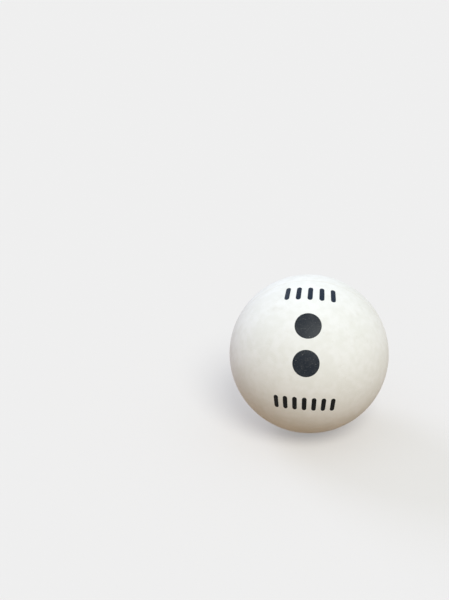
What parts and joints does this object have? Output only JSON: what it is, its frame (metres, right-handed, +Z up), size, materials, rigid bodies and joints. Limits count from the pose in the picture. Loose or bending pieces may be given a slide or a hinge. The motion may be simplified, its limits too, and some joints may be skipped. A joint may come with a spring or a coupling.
{
  "type": "squash ball",
  "caption": "Hollow matt white rubber ball, made of half shells cemented rim to rim, with plain dark printed marks, for a racket game against the walls of a court.",
  "frame": {"origin": "centre of the ball", "axes": "+Z up as the ball lies on a floor, -Y towards the viewer, the printed side; the half shells share the Y axis and the seam lies in the XZ plane"},
  "size_m": [0.04, 0.04, 0.04],
  "materials": {
    "white_rubber": "matte",
    "rubber_cement": "matte",
    "print_ink": "satin"
  },
  "bodies": {
    "root": {"front_half_shell": "white_rubber", "rear_half_shell": "white_rubber", "seam_cement": "rubber_cement"}
  },
  "joints": []
}
